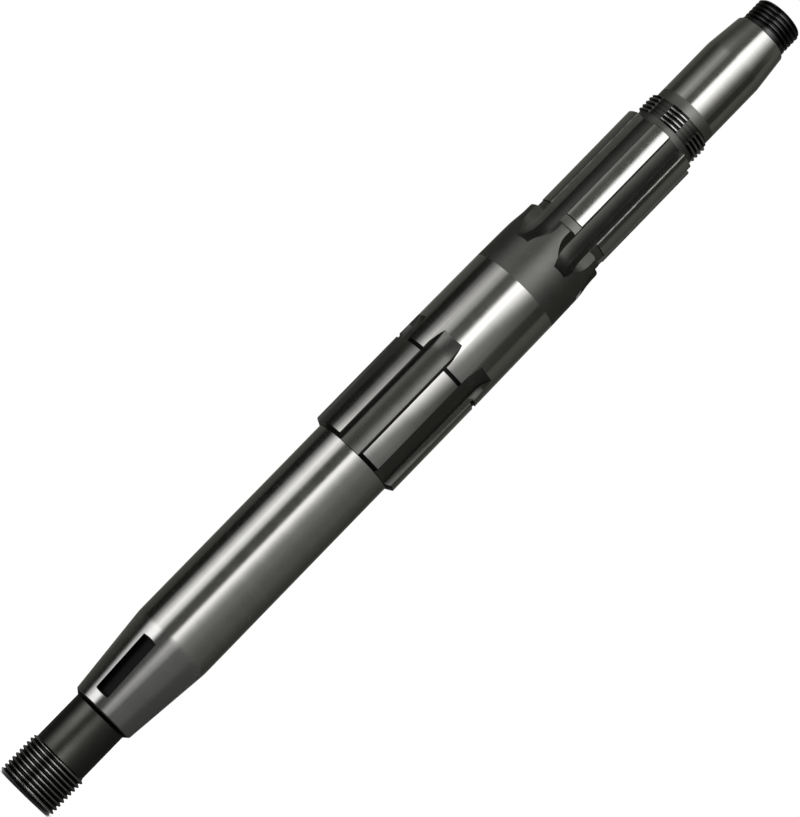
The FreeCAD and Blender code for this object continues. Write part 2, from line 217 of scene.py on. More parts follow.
class MAINSHAFT_PG_stage(bpy.types.PropertyGroup):
    """The camera and the light of the studio."""

    azimuth: angle("Camera azimuth", 24.2, "Turn of the camera round the shaft")
    distance: length("Camera distance", 875.4, "Distance from the camera to the axis")
    height: length("Camera height", 32.47, "Height of the camera above the floor")
    target: length("Aim height", 148.73, "Height of the point on the axis that it looks at")
    roll: angle("Camera roll", 44.249, "Roll of the camera about its line of sight")
    lens: bpy.props.FloatProperty(
        name="Lens", description="Focal length of the camera's lens", default=138.36, min=1.0,
        unit="CAMERA")
    card_distance: length("Card distance", 1450.0, "Distance from the shaft to the upright cards")
    shift_x: bpy.props.FloatProperty(
        name="Shift across", default=0.0021, precision=4,
        description="Sideways shift of the camera's picture")
    shift_y: bpy.props.FloatProperty(
        name="Shift up", default=0.0017, precision=4,
        description="Upward shift of the camera's picture")
    lamp_strength: glow("Lamp strength", 1.2, "Strength of the soft lamp overhead")
    world_level: glow("World level", 0.6, "Level of the light that comes from all round")


# Nodes, for the geometry trees and the materials

class Nodes:
    """Adds nodes to a tree and links them."""

    def __init__(self, tree):
        self.nodes = tree.nodes
        self.links = tree.links

    def node(self, kind, inputs=None, output=0, **settings):
        """Add a node, set it up, fill its sockets and give one of its outputs."""
        made = self.nodes.new(kind)
        for setting, value in settings.items():
            setattr(made, setting, value)
        for socket, value in (inputs or {}).items():
            target = made.inputs[socket]
            if isinstance(value, bpy.types.NodeSocket):
                self.links.new(value, target)
            else:
                target.default_value = value
        return made.outputs[output] if made.outputs else None

    def maths(self, operation, *values):
        return self.node("ShaderNodeMath", dict(enumerate(values)), operation=operation)

    def vector(self, operation, *values, output=0):
        return self.node("ShaderNodeVectorMath", dict(enumerate(values)), output,
                         operation=operation)

    def reach(self, place):
        """Distance of a place from the shaft's axis."""
        return self.vector("LENGTH", self.vector("MULTIPLY", place, LEVEL), output=1)


class Tree(Nodes):
    """A Geometry Nodes tree with named inputs and one geometry output."""

    def __init__(self, name, inputs):
        self.group = bpy.data.node_groups.new(name, "GeometryNodeTree")
        super().__init__(self.group)
        face = self.group.interface
        face.new_socket("Geometry", in_out="INPUT", socket_type="NodeSocketGeometry")
        for socket_name, kind in inputs:
            face.new_socket(socket_name, in_out="INPUT", socket_type=f"NodeSocket{kind}")
        face.new_socket("Geometry", in_out="OUTPUT", socket_type="NodeSocketGeometry")
        self.start = self.nodes.new("NodeGroupInput")
        self.end = self.nodes.new("NodeGroupOutput")

    def given(self, name):
        """One of the tree's own inputs."""
        return self.start.outputs[name]

    def place(self):
        return self.node("GeometryNodeInputPosition")

    def along_z(self, z):
        return self.node("ShaderNodeCombineXYZ", {"Z": z})

    def dress(self, geometry, material, selection=True):
        return self.node("GeometryNodeSetMaterial", {
            "Geometry": geometry, "Material": material, "Selection": selection})

    def finish(self, geometry, material, selection=True):
        """End in Realize Instances and Set Material."""
        real = self.node("GeometryNodeRealizeInstances", {"Geometry": geometry})
        self.links.new(self.dress(real, material, selection), self.end.inputs[0])
        return self.group


def run_tree(thing, group, values):
    """Run a tree on an object, keep what it makes as the object's plain mesh."""
    modifier = thing.modifiers.new(group.name, "NODES")
    modifier.node_group = group
    sockets = {item.name: item.identifier for item in group.interface.items_tree
               if item.in_out == "INPUT"}
    for name, value in values.items():
        modifier[sockets[name]] = value
    bpy.context.view_layer.update()
    evaluated = thing.evaluated_get(bpy.context.evaluated_depsgraph_get())
    mesh = bpy.data.meshes.new_from_object(evaluated)
    thing.modifiers.remove(modifier)
    thing.data = mesh
    return thing


def revolve_tree(zone_count):
    """Turns an outline into a solid of revolution, with a steel of its own from each height."""
    inputs = [("Path Radius", "Float"), ("Segments", "Int"), ("Rounding Steps", "Int"),
              ("Foot Steel", "Material")]
    for number in range(zone_count):
        inputs += [(f"Zone {number} Foot", "Float"), (f"Zone {number} Steel", "Material")]
    tree = Tree("Turned Blank", inputs)
    outline = tree.node("GeometryNodeMeshToCurve", {"Mesh": tree.given("Geometry")})
    rounding = tree.node("GeometryNodeInputNamedAttribute", {"Name": "rounding"},
                         data_type="FLOAT")
    rounded = tree.node("GeometryNodeFilletCurve", {
        "Curve": outline, "Count": tree.given("Rounding Steps"), "Radius": rounding,
        "Limit Radius": True}, mode="POLY")
    circle = tree.node("GeometryNodeCurvePrimitiveCircle", {
        "Resolution": tree.given("Segments"), "Radius": tree.given("Path Radius")},
        mode="RADIUS")
    path = tree.node("GeometryNodeSetCurveNormal", {"Curve": circle}, mode="Z_UP")
    turned = tree.node("GeometryNodeCurveToMesh", {"Curve": path, "Profile Curve": rounded})
    merged = tree.node("GeometryNodeMergeByDistance", {
        "Geometry": turned, "Distance": 0.002 * MM})
    shaft = tree.dress(merged, tree.given("Foot Steel"))
    height = tree.node("ShaderNodeSeparateXYZ", {"Vector": tree.place()}, output=2)
    for number in range(zone_count):
        above = tree.maths("GREATER_THAN", height, tree.given(f"Zone {number} Foot"))
        steel = tree.given(f"Zone {number} Steel")
        if number == zone_count - 1:
            return tree.finish(shaft, steel, above)
        shaft = tree.dress(shaft, steel, above)


def thread_tree():
    """Sweeps the section of a thread's groove into a solid to cut with.

    A falling sweep gives a left-hand thread, a rising one a right-hand thread.
    """
    tree = Tree("Thread Cutter", [
        ("Root Radius", "Float"), ("Lift", "Float"), ("Start Height", "Float"),
        ("Rise", "Float"), ("Turns", "Float"), ("Start Angle", "Float"),
        ("Run-out Length", "Float"), ("Steps", "Int"), ("Thread Steel", "Material")])
    root, run_out = tree.given("Root Radius"), tree.given("Run-out Length")
    section = tree.node("GeometryNodeMeshToCurve", {"Mesh": tree.given("Geometry")})
    helix = tree.node("GeometryNodeCurveSpiral", {
        "Resolution": tree.given("Steps"), "Rotations": tree.given("Turns"),
        "Start Radius": root, "End Radius": root, "Height": tree.given("Rise"),
        "Reverse": True})
    along = tree.node("GeometryNodeSplineParameter", output=1)
    fading = tree.node("ShaderNodeMapRange", {
        "Value": along, "From Min": 0.0, "From Max": run_out, "To Min": tree.given("Lift"),
        "To Max": 0.0})
    lift = tree.maths("MULTIPLY", fading, tree.maths("GREATER_THAN", run_out, 0.0))
    outward = tree.vector("NORMALIZE", tree.vector("MULTIPLY", tree.place(), LEVEL))
    offset = tree.node("ShaderNodeVectorMath", {0: outward, "Scale": lift}, operation="SCALE")
    lifted = tree.node("GeometryNodeSetPosition", {"Geometry": helix, "Offset": offset})
    path = tree.node("GeometryNodeSetCurveNormal", {"Curve": lifted}, mode="Z_UP")
    groove = tree.node("GeometryNodeCurveToMesh", {
        "Curve": path, "Profile Curve": section, "Fill Caps": True})
    placed = tree.node("GeometryNodeTransform", {
        "Geometry": groove, "Translation": tree.along_z(tree.given("Start Height")),
        "Rotation": tree.along_z(tree.given("Start Angle"))})
    return tree.finish(placed, tree.given("Thread Steel"))


def ring_tree():
    """Repeats one cutter evenly round the shaft's axis."""
    tree = Tree("Slot Ring", [("Count", "Int"), ("First Angle", "Float"),
                              ("Slot Steel", "Material")])
    points = tree.node("GeometryNodeMeshLine", {
        "Count": tree.given("Count"), "Offset": (0.0, 0.0, 0.0)})
    step = tree.maths("DIVIDE", 2 * math.pi, tree.given("Count"))
    turn = tree.maths("MULTIPLY_ADD", tree.node("GeometryNodeInputIndex"), step,
                      tree.given("First Angle"))
    ring = tree.node("GeometryNodeInstanceOnPoints", {
        "Points": points, "Instance": tree.given("Geometry"), "Rotation": tree.along_z(turn)})
    floors = tree.maths("LESS_THAN", tree.node("GeometryNodeInputMaterialIndex"), 0.5)
    return tree.finish(ring, tree.given("Slot Steel"), floors)


def cut_tree(cutter_count):
    """Cuts the blank with each cutter in turn, and finishes the bore."""
    inputs = [(f"Cutter {number}", "Object") for number in range(cutter_count)]
    tree = Tree("Cut Mainshaft", inputs + [("Bore Limit", "Float"), ("Bore Steel", "Material")])
    shaft = tree.given("Geometry")
    for name, _ in inputs:
        cutter = tree.node("GeometryNodeObjectInfo", {"Object": tree.given(name)}, output=4)
        shaft = tree.node("GeometryNodeMeshBoolean", {"Mesh 1": shaft, "Mesh 2": cutter},
                          operation="DIFFERENCE", solver="MANIFOLD")
    bore = tree.maths("LESS_THAN", tree.reach(tree.place()), tree.given("Bore Limit"))
    return tree.finish(shaft, tree.given("Bore Steel"), bore)


# Finishes

class Finish(Nodes):
    """A steel made node by node round one Principled shader."""

    def __init__(self, name, base, roughness):
        self.material = bpy.data.materials.new(name)
        self.material.use_nodes = True
        super().__init__(self.material.node_tree)
        self.shader = self.nodes["Principled BSDF"]
        self.shader.inputs["Base Color"].default_value = (*base, 1.0)
        self.shader.inputs["Roughness"].default_value = roughness
        self.shader.inputs["Metallic"].default_value = 1.0
        self.place = self.node("ShaderNodeTexCoord", output="Object")

    def feed(self, socket, value):
        self.links.new(value, self.shader.inputs[socket])

    def noise(self, across, along, detail=2.0):
        """Noise with so many cells to the metre across the shaft and along its axis."""
        spread = self.vector("MULTIPLY", self.place, (across, across, along))
        return self.node("ShaderNodeTexNoise", {"Vector": spread, "Scale": 1.0,
                                                "Detail": detail, "Roughness": 0.6})

    def remap(self, value, low, high, start=0.3, end=0.7):
        return self.node("ShaderNodeMapRange", {"Value": value, "From Min": start,
                                                "From Max": end, "To Min": low, "To Max": high})

    def blend(self, factor, first, second):
        """Mix two colours, each a triple or another node's output."""
        made = self.nodes.new("ShaderNodeMix")
        made.data_type = "RGBA"
        for socket, value in (("Factor_Float", factor), ("A_Color", first), ("B_Color", second)):
            target = next(item for item in made.inputs if item.identifier == socket)
            if isinstance(value, bpy.types.NodeSocket):
                self.links.new(value, target)
            else:
                target.default_value = (*value, 1.0)
        return next(item for item in made.outputs if item.identifier == "Result_Color")

    def bump(self, height, strength, distance):
        self.feed("Normal", self.node("ShaderNodeBump", {"Height": height, "Strength": strength,
                                                         "Distance": distance}))


def tinted(rgb, factor):
    return tuple(min(1.0, part * factor) for part in rgb)


def ground_steel(finish):
    """Bright steel with fine marks round the shaft, left by the grinding wheel."""
    base, roughness = finish.ground_colour, finish.ground_roughness
    made = Finish("ground_steel", base, roughness)
    fine = made.noise(90.0, 7000.0, 3.0)
    broad = made.noise(40.0, 350.0)
    both = made.maths("ADD", fine, broad)
    made.feed("Base Color", made.blend(made.remap(broad, 0.0, 1.0), tinted(base, 0.97),
                                       tinted(base, 1.03)))
    made.feed("Roughness", made.remap(both, roughness - 0.015, roughness + 0.02, 0.7, 1.3))
    made.bump(fine, 0.05, 0.004 * MM)
    return made.material


def blackened_steel(name, base, roughness, marks, flecks, fleck_colour):
    """Heat-blackened steel, finely grained, with the marks of the turning tool."""
    made = Finish(name, base, roughness)
    mottle = made.noise(220.0, 180.0, 3.0)
    turned = made.noise(25.0, 2400.0)
    grain = made.noise(3500.0, 3500.0, 3.0)
    tone = made.blend(made.remap(mottle, 0.0, 1.0), tinted(base, 0.92), tinted(base, 1.06))
    fleck = made.remap(grain, 0.0, flecks, 0.6, 0.85)
    made.feed("Base Color", made.blend(fleck, tone, fleck_colour))
    made.feed("Roughness", made.remap(grain, roughness + 0.06, roughness - 0.06))
    made.bump(turned, marks, 0.012 * MM)
    return made.material


def thread_steel(name, crest_radius, depth, finish, wear):
    """Black thread whose crests have begun to wear bright."""
    made = Finish(name, finish.thread_colour, 0.25)
    spots = made.noise(400.0, 200.0, 3.0)
    crest = made.node("ShaderNodeMapRange", {
        "Value": made.reach(made.place), "From Min": crest_radius - 0.25 * depth,
        "From Max": crest_radius - 0.05 * depth})
    worn = made.maths("MULTIPLY", crest, made.remap(spots, 0.6 * wear, wear))
    made.feed("Base Color", made.blend(worn, finish.thread_colour, finish.crest_colour))
    made.feed("Roughness", made.remap(spots, 0.28, 0.2))
    return made.material


def worn_edge(finish):
    """Narrow edges that handling has rubbed bright."""
    made = Finish("worn_edge", finish.wear_colour, 0.3)
    spots = made.noise(1500.0, 400.0, 3.0)
    made.feed("Base Color", made.blend(made.remap(spots, 0.0, 1.0, 0.35, 0.65),
                                       tinted(finish.wear_colour, 0.45), finish.wear_colour))
    return made.material


def make_finishes(scene):
    """Every steel by name. A darkened one has a colour, a part of it, a roughness, and the
    strength of its tool marks and of its flecks."""
    finish, turned = scene.mainshaft_finish, scene.mainshaft_turned
    black, slot = finish.black_colour, finish.slot_colour
    matt, smooth = finish.black_roughness, finish.slot_roughness
    darkened = {
        "blackened": (black, 1, matt, 0.25, 0.3),
        "relief": (black, 1.3, matt, 0.25, 0.3),
        "collar": (black, 1.4, matt, 0.25, 0.3),
        "neck": (finish.neck_colour, 1, matt - 0.1, 0.25, 0.3),
        "bore": (slot, 0.5, 0.45, 0.25, 0.3),
        # painted shade: a near-black copy of the thread black, put on bevels, grooves, the keyway
        # and a strip under the crowns, where shade falls
        "recess": (finish.thread_colour, 0.3, 0.45, 0.1, 0),
        "lower slot": (slot, 1, smooth, 0.1, 0.3),
        # A darker copy of the slot steel on the upper slots' floors: painted shade.
        "upper slot": (slot, 0.66, smooth, 0.1, 0.3),
        # A darker copy of the slot steel on the lower slots' walls and crown flanks: painted
        # shade.
        "slot wall": (slot, 0.6, smooth, 0.05, 0.3),
        # A lighter copy of the slot steel on the upper slots' walls: painted light.
        "upper wall": (slot, 1.2, smooth, 0.05, 0.3),
        "flare": (slot, 0.8, smooth, 0.05, 0.3),
    }
    threads = {"clutch thread": (turned.clutch_thread_radius, 1),
               "middle thread": (turned.middle_thread_radius, 1),
               "end thread": (turned.end_thread_radius, 0.08)}
    finishes = {"ground": ground_steel(finish), "edge": worn_edge(finish)}
    for name, (base, part, roughness, marks, flecks) in darkened.items():
        finishes[name] = blackened_steel(f"{name.replace(' ', '_')}_steel", tinted(base, part),
                                         roughness, marks, flecks,
                                         tinted(finish.wear_colour, 0.6))
    for name, (crest, wear) in threads.items():
        finishes[name] = thread_steel(f"{name.replace(' ', '_')}_steel", crest,
                                      scene.mainshaft_threads.depth, finish, wear)
    return finishes


# The shaft

def new_object(name, mesh):
    thing = bpy.data.objects.new(name, mesh)
    bpy.context.scene.collection.objects.link(thing)
    return thing


def shaft_plan(scene):
    """The turned and milled sizes, and the heights of the shaft's steps, from the foot up."""
    turned, milled = scene.mainshaft_turned, scene.mainshaft_milled
    lengths = {
        "thread_top": turned.clutch_thread_length, "taper_foot": turned.neck_length,
        "journal_foot": turned.taper_length, "spline_foot": turned.journal_length,
        "groove_foot": milled.lower_length, "hub_foot": turned.groove_width,
        "band_foot": turned.hub_length, "band_top": turned.band_length,
        "upper_foot": turned.relief_length, "upper_top": milled.upper_length,
        "middle_foot": turned.ring_length, "middle_top": turned.middle_thread_length,
        "end_taper_foot": turned.end_journal_length,
        "end_thread_foot": turned.end_taper_length, "shaft_top": turned.end_thread_length,
    }
    heights = SimpleNamespace(**dict(zip(lengths, accumulate(lengths.values()))))
    return turned, milled, heights


def turned_outline(scene):
    """The outline's corners: radius, height and rounding, up the outside, down the bore."""
    turned, milled, at = shaft_plan(scene)
    edge = turned.edge_break
    thread = turned.clutch_thread_radius
    run_down = (thread - turned.neck_radius) * FLANK_SLOPE
    crown = milled.lower_radius
    groove = crown - turned.groove_depth
    upper = milled.upper_radius
    relief = upper - turned.relief_depth
    bevel = milled.upper_bevel
    ring = milled.upper_floor - turned.ring_step
    middle = turned.middle_thread_radius
    end_thread = turned.end_thread_radius
    chamfer, small_chamfer, end_chamfer = 0.9 * MM, 0.35 * MM, 0.7 * MM
    return [
        (thread - chamfer, 0.0, edge),
        (thread, chamfer, 0.0),
        (thread, at.thread_top - run_down, 0.0),
        (turned.neck_radius, at.thread_top, 3 * edge),
        (turned.neck_radius, at.taper_foot, 3 * edge),
        (turned.taper_small_radius, at.taper_foot + turned.taper_edge, 0.7 * MM),
        (turned.journal_radius, at.journal_foot, 20.0 * MM),
        (turned.journal_radius, at.spline_foot, edge),
        (crown, at.spline_foot + milled.lower_bevel, edge),
        (crown, at.groove_foot, edge),
        (groove, at.groove_foot, edge),
        (groove, at.hub_foot, edge),
        (crown, at.hub_foot, edge),
        (turned.hub_top_radius, at.band_foot, 10 * edge),
        (turned.band_top_radius, at.band_top, 1.0 * MM),
        (relief, at.band_top, 2 * edge),
        (relief, at.upper_foot - bevel, 0.0),
        (upper, at.upper_foot + turned.relief_depth - bevel, edge),
        (upper, at.upper_top - bevel, edge / 2),
        (upper - bevel, at.upper_top, edge / 2),
        (ring, at.upper_top, 2 * edge),
        (ring, at.middle_foot, 0.0),
        (middle - small_chamfer, at.middle_foot, 0.0),
        (middle, at.middle_foot + small_chamfer, 0.0),
        (middle, at.middle_top - small_chamfer, 0.0),
        (middle - small_chamfer, at.middle_top, 0.0),
        (turned.end_journal_radius, at.middle_top, 2 * edge),
        (turned.end_journal_radius, at.middle_top + turned.collar_length, 0.0),
        (turned.end_journal_radius, at.end_taper_foot, 15.0 * MM),
        (turned.end_taper_radius, at.end_thread_foot, 0.5 * MM),
        (end_thread, at.end_thread_foot, 3 * edge),
        (end_thread, at.shaft_top - end_chamfer, 0.0),
        (end_thread - end_chamfer, at.shaft_top, edge),
        (turned.bore_mouth_radius, at.shaft_top, edge),
        (turned.bore_radius, at.shaft_top - turned.bore_mouth_depth, edge),
        (turned.bore_radius, turned.bore_mouth_depth, edge),
        (turned.bore_mouth_radius, 0.0, edge),
    ]


def finish_zones(scene):
    """The height from which each steel runs up to the next."""
    turned, milled, at = shaft_plan(scene)
    # A 0.35 mm strip of the journal below the lower crowns is painted shadow, and 0.77 of the
    # taper's small-end bevel is painted shade.
    line, lead_in, painted_shadow_below_crowns, crown_top = 0.05 * MM, 0.8 * MM, 0.35 * MM, 0.3 * MM
    painted_shade_part_of_edge = 0.77
    return [
        # Zones of painted shade: near black on the foot chamfer, the taper's bevel, the crowns'
        # feet and the ring groove, where shade falls.
        (line, "recess"),
        (lead_in, "clutch thread"),
        (at.thread_top - line, "neck"),
        (at.taper_foot - line, "recess"),
        (at.taper_foot + painted_shade_part_of_edge * turned.taper_edge, "ground"),
        (at.spline_foot - painted_shadow_below_crowns, "recess"),
        (at.spline_foot + milled.lower_bevel, "ground"),
        (at.groove_foot - line, "recess"),
        (at.hub_foot + line, "ground"),
        (at.band_foot, "blackened"),
        (at.band_top + line, "relief"),
        (at.upper_foot - 2 * milled.upper_bevel, "recess"),
        (at.upper_foot, "ground"),
        (at.upper_top - crown_top, "blackened"),
        (at.middle_foot + line, "middle thread"),
        (at.middle_top - line, "collar"),
        (at.middle_top + turned.collar_length, "ground"),
        (at.end_thread_foot - line, "end thread"),
    ]


def closed_loop(count):
    """Edges that join so many points into a ring."""
    return [(index, (index + 1) % count) for index in range(count)]


def make_blank(scene, finishes):
    """The shaft as it leaves the lathe, with its bore."""
    corners = turned_outline(scene)[::-1]
    path_radius = 1.0 * MM
    mesh = bpy.data.meshes.new("turned_outline")
    mesh.from_pydata([(radius - path_radius, -height, 0.0) for radius, height, _ in corners],
                     closed_loop(len(corners)), [])
    rounding = mesh.attributes.new("rounding", "FLOAT", "POINT")
    rounding.data.foreach_set("value", [corner[2] for corner in corners])
    zones = finish_zones(scene)
    values = {"Path Radius": path_radius, "Segments": 240, "Rounding Steps": 4,
              "Foot Steel": finishes["blackened"]}
    for number, (foot, steel) in enumerate(zones):
        values[f"Zone {number} Foot"] = foot
        values[f"Zone {number} Steel"] = finishes[steel]
    return run_tree(new_object("turned_blank", mesh), revolve_tree(len(zones)), values)


def thread_section(name, threads):
    """The groove's section, from its root outward, with bevels that round the crests."""
    half = threads.pitch / 2 - threads.crest_width / 2
    bevel = threads.crest_bevel
    flank_top = threads.depth - bevel * FLANK_SLOPE
    shoulder = half - bevel
    overrun, spread = 0.1 * MM, 0.02 * MM
    side = [(0.0, shoulder - flank_top * FLANK_SLOPE), (flank_top, shoulder),
            (threads.depth, half), (threads.depth + overrun, half + spread)]
    points = [(out, -across, 0.0) for out, across in side]
    points += [(out, across, 0.0) for out, across in reversed(side)]
    mesh = bpy.data.meshes.new(name)
    mesh.from_pydata(points, closed_loop(len(points)), [])
    return mesh


def make_thread_cutters(scene, finishes):
    turned, _, at = shaft_plan(scene)
    threads = scene.mainshaft_threads
    pitch = threads.pitch
    past = 1.2 * pitch
    group = thread_tree()
    rows = [
        ("clutch thread", turned.clutch_thread_radius, at.thread_top + pitch, -pitch,
         threads.clutch_turn, 0.0),
        ("middle thread", turned.middle_thread_radius, at.middle_foot - past,
         at.middle_top + past, threads.middle_turn, 0.0),
        ("end thread", turned.end_thread_radius, at.end_thread_foot + 0.5 * pitch,
         at.shaft_top + pitch, threads.end_turn, threads.run_out),
    ]
    cutters = []
    for name, crest, first, last, turn, run_out in rows:
        cutter = new_object(name.replace(" ", "_") + "_cutter", thread_section(name, threads))
        cutters.append(run_tree(cutter, group, {
            "Root Radius": crest - threads.depth, "Lift": threads.depth + 0.1 * MM,
            "Start Height": first, "Rise": last - first, "Turns": abs(last - first) / pitch,
            "Start Angle": turn, "Run-out Length": run_out, "Steps": 96,
            "Thread Steel": finishes[name]}))
    return cutters


def arc_points(radius, first, last, steps):
    """Points on a circle round the origin, by their angle from +Y towards +X."""
    points = []
    for index in range(steps + 1):
        turn = first + (last - first) * index / steps
        points.append((radius * math.sin(turn), radius * math.cos(turn)))
    return points


def slot_section(milled, floor, floor_width, crown_width, crown):
    """Section of the slot cutter beside +Y, and the place in it of the floor's last corner."""
    half = crown_width / 2
    pitch = math.pi / milled.crown_count
    outside = milled.lower_radius + 1.0 * MM
    flank_top = math.sqrt(crown ** 2 - half ** 2) - milled.crown_edge
    flare = (outside - flank_top) * math.tan(milled.flare_angle)
    corners = []
    for reach, side in ((flank_top, half), (outside, half - flare)):
        corners.append((reach * math.sin(pitch) - side * math.cos(pitch),
                        reach * math.cos(pitch) + side * math.sin(pitch)))
    shoulder, lip = corners
    floor_turn = math.asin(floor_width / 2 / floor)
    floor_steps = 12
    floor_arc = arc_points(floor, floor_turn, -floor_turn, floor_steps)
    roof = (0.0, lip[1] + 0.5 * MM)
    points = floor_arc + [(-shoulder[0], shoulder[1]), (-lip[0], lip[1]), roof, lip, shoulder]
    return points, len(floor_arc) - 1


def cutter_mesh(name, verts, faces, materials, slots):
    """A closed solid to cut with, its faces turned outward, each with its own steel."""
    mesh = bpy.data.meshes.new(name)
    mesh.from_pydata(verts, [], faces)
    for material in materials:
        mesh.materials.append(material)
    mesh.polygons.foreach_set("material_index", slots)
    shape = bmesh.new()
    shape.from_mesh(mesh)
    bmesh.ops.recalc_face_normals(shape, faces=shape.faces[:])
    shape.to_mesh(mesh)
    shape.free()
    return mesh


def swept_mesh(name, points, corner, stations, materials):
    """A closed solid from one section, placed by each station's matrix.

    Its sides are, past the floor's last corner, a wall, a flare, two roofs, a flare and a wall.
    """
    count = len(points)
    kinds = [0] * corner + [1, 2, 0, 0, 2, 1]
    verts, faces, slots = [], [], []
    for matrix in stations:
        verts += [matrix @ Vector((x, y, 0.0)) for x, y in points]
    for ring in range(len(stations) - 1):
        for side in range(count):
            after = (side + 1) % count
            base, top = ring * count, (ring + 1) * count
            faces.append((base + side, base + after, top + after, top + side))
            slots.append(kinds[side] + (2 if ring and kinds[side] else 0))
    faces.append(tuple(reversed(range(count))))
    last = (len(stations) - 1) * count
    faces.append(tuple(range(last, last + count)))
    slots += [0, 0]
    return cutter_mesh(name, verts, faces, materials, slots)


def slot_stations(milled, floor, cut_height, crown_end, open_height):
    """From the open end along the slot, then a quarter turn round the cutter's axis."""
    sense = -1.0 if cut_height > open_height else 1.0
    axis = floor + milled.cutter_radius
    stations = [Matrix.Translation((0.0, 0.0, height))
                for height in (open_height, crown_end, cut_height)]
    steps = 26
    for index in range(1, steps + 1):
        turn = Matrix.Rotation(sense * math.pi / 2 * index / steps, 4, "X")
        stations.append(Matrix.Translation((0.0, axis, cut_height)) @ turn
                        @ Matrix.Translation((0.0, -axis, 0.0)))
    return stations


def make_slot_cutters(scene, finishes):
    turned, milled, at = shaft_plan(scene)
    past = 1.0 * MM
    group = ring_tree()
    rows = [
        ("lower_slots", milled.lower_floor, milled.lower_floor_width, milled.lower_crown_width,
         milled.lower_radius, milled.lower_crown_angle, at.groove_foot + milled.lower_run_out,
         at.groove_foot, at.spline_foot - past,
         # The lower walls and crown flanks take the darker copy of the slot steel, painted shade.
         ("lower slot", "slot wall", "slot wall", "slot wall", "flare")),
        ("upper_slots", milled.upper_floor, milled.upper_floor_width, milled.upper_crown_width,
         milled.upper_radius, milled.upper_crown_angle, at.band_top - milled.band_cut,
         at.upper_foot, at.middle_top + past,
         # The upper walls take the lighter copy of the slot steel, painted light; the upper
         # floors a darker one, painted shade.
         ("upper slot", "upper wall", "edge", "upper wall", "flare")),
    ]
    cutters = []
    for (name, floor, floor_width, width, crown, crown_angle, cut_height, crown_end,
         open_height, steels) in rows:
        points, corner = slot_section(milled, floor, floor_width, width, crown)
        stations = slot_stations(milled, floor, cut_height, crown_end, open_height)
        mesh = swept_mesh(name, points, corner, stations, [finishes[steel] for steel in steels])
        first = math.pi + crown_angle + math.pi / milled.crown_count
        cutters.append(run_tree(new_object(name, mesh), group, {
            "Count": milled.crown_count, "First Angle": first,
            "Slot Steel": finishes[steels[0]]}))
    return cutters


def make_keyway_cutter(scene, finishes):
    """The keyway's solid, square-ended, with its floor along the taper and a bevelled mouth."""
    turned, milled, at = shaft_plan(scene)
    foot = at.taper_foot + milled.key_inset
    small = turned.taper_small_radius
    slope = (turned.journal_radius - small) / (turned.taper_length - turned.taper_edge)
    rise = 1.5 * MM
    half, edge = milled.key_width / 2, milled.key_edge
    mouth_drop = half ** 2 / (2 * turned.journal_radius)
    verts = []
    for up, grow in ((foot, -1.0), (foot + milled.key_length, 1.0)):
        surface = small + (up - at.taper_foot - turned.taper_edge) * slope
        flare = edge + rise
        levels = ((-milled.key_depth, 0.0), (-edge - mouth_drop, 0.0), (rise - mouth_drop, flare))
        for level, spread in levels:
            for side in (-1.0, 1.0):
                verts.append((side * (half + spread), -(surface + level), up + grow * spread))
    faces = [(0, 1, 7, 6), (4, 10, 11, 5), (0, 2, 3, 1), (6, 7, 9, 8), (0, 6, 8, 2),
             (1, 3, 9, 7), (2, 4, 5, 3), (8, 9, 11, 10), (2, 8, 10, 4), (3, 5, 11, 9)]
    # Inside faces get painted shade, near black where shade falls in the keyway; the mouth's
    # bevel gets the worn edge.
    slots = [0] * 6 + [1] * 4
    return new_object("keyway_cutter", cutter_mesh("keyway_cutter", verts, faces,
                                                   (finishes["recess"], finishes["edge"]), slots))


def smooth_by_angle(mesh, limit):
    """Smooth shading, kept sharp along every edge that turns by more than the limit."""
    mesh.polygons.foreach_set("use_smooth", [True] * len(mesh.polygons))
    mesh.set_sharp_from_angle(angle=limit)
    mesh.update()


class MAINSHAFT_OT_shaft(bpy.types.Operator):
    """Turn, thread and mill the mainshaft, and put it in place of its plain solid"""

    bl_idname = "mainshaft.shaft"
    bl_label = "Make Mainshaft"

    def execute(self, context):
        scene = context.scene
        finishes = make_finishes(scene)
        shaft = make_blank(scene, finishes)
        cutters = (make_thread_cutters(scene, finishes) + make_slot_cutters(scene, finishes)
                   + [make_keyway_cutter(scene, finishes)])
        values = {f"Cutter {number}": cutter for number, cutter in enumerate(cutters)}
        values["Bore Limit"] = scene.mainshaft_turned.bore_mouth_radius - 0.05 * MM
        values["Bore Steel"] = finishes["bore"]
        run_tree(shaft, cut_tree(len(cutters)), values)
        for cutter in cutters:
            bpy.data.objects.remove(cutter)
        shaft.name = PIECE
        shaft.data.name = PIECE
        if not shaft.data.polygons:
            raise RuntimeError("The cuts left nothing of the shaft")
        smooth_by_angle(shaft.data, math.radians(32.0))
        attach(shaft, "root")
        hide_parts("mainshaft")
        return {"FINISHED"}


# The studio

class Card(NamedTuple):
    """A curved upright card, or a flat one on the floor, that only reflections see.

    Turns are measured from the camera's direction, in degrees, positive to its right. Each
    row has a place (a height for an upright card, a distance for a flat one), its left and
    right turn, and its glow. The shares of that glow run evenly from left to right. A flat
    card lies at the height given, and a card that isn't solid adds its glow to those behind.
    """

    name: str
    shares: tuple
    rows: tuple
    solid: bool = False
    cloth: bool = False
    flat: float = None


